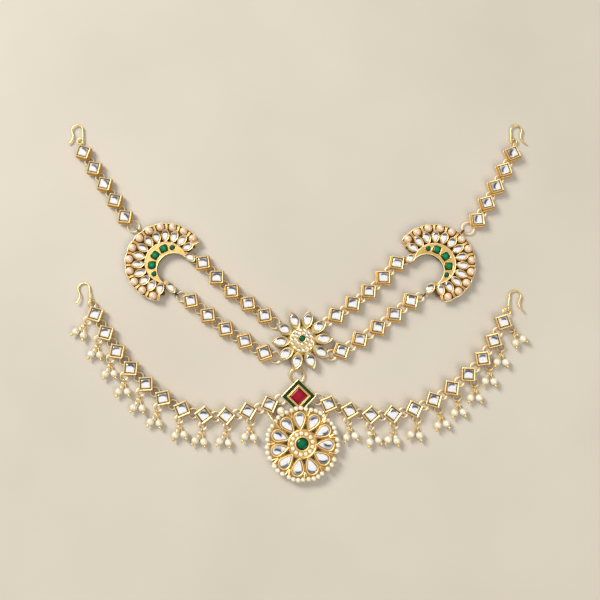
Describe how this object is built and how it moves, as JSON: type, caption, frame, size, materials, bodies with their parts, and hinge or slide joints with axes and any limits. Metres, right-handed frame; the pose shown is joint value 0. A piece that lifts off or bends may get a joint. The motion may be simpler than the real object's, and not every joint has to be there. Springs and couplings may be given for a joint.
{
  "type": "matha patti head jewel",
  "caption": "Indian forehead jewel of gold links set with square stones, with a pendant, a flower, two crescents, pearl drops and four hooks, lying flat.",
  "frame": {"origin": "middle of the flat back of the round pendant", "axes": "+X across the jewel to the wearer's left as it lies face up, +Y from the pendant towards the crown of the head, +Z out of the faces of the stones"},
  "size_m": [0.284, 0.2186, 0.0062],
  "materials": {
    "gold": "polished warm yellow gold plating over brass",
    "clear_stone": "clear foil-backed cut glass",
    "pearl": "cream pearl lustre",
    "green_stone": "foil-backed green cut glass",
    "red_stone": "foil-backed red cut glass",
    "green_enamel": "glossy dark green enamel"
  },
  "bodies": {
    "root": {"hook_upper_left": "gold", "hook_upper_right": "gold", "hook_lower_left": "gold", "hook_lower_right": "gold", "upper_left_settings": "gold", "upper_left_stones": "clear_stone", "upper_left_rings": "gold", "upper_right_settings": "gold", "upper_right_stones": "clear_stone", "upper_right_rings": "gold", "inner_upper_left_settings": "gold", "inner_upper_left_stones": "clear_stone", "inner_upper_left_rings": "gold", "inner_upper_right_settings": "gold", "inner_upper_right_stones": "clear_stone", "inner_upper_right_rings": "gold", "inner_lower_left_settings": "gold", "inner_lower_left_stones": "clear_stone", "inner_lower_left_rings": "gold", "inner_lower_right_settings": "gold", "inner_lower_right_stones": "clear_stone", "inner_lower_right_rings": "gold", "forehead_left_settings": "gold", "forehead_left_stones": "clear_stone", "forehead_left_rings": "gold", "forehead_right_settings": "gold", "forehead_right_stones": "clear_stone", "forehead_right_rings": "gold", "drop_rings_left": "gold", "drop_rings_right": "gold", "pearl_drops_left": "pearl", "pearl_drops_right": "pearl", "crescent_left": "gold", "crescent_left_emeralds": "green_stone", "crescent_right": "gold", "crescent_right_emeralds": "green_stone", "flower_setting": "gold", "flower_petal_stones": "clear_stone", "flower_centre_stone": "green_stone", "carrier_ring": "gold", "pendant_setting": "gold", "enamel_border": "green_enamel", "ruby": "red_stone", "pendant_drop_stones": "clear_stone", "pendant_centre_stone": "green_stone", "pearl_edge": "pearl", "stay_rings": "gold"}
  },
  "joints": []
}
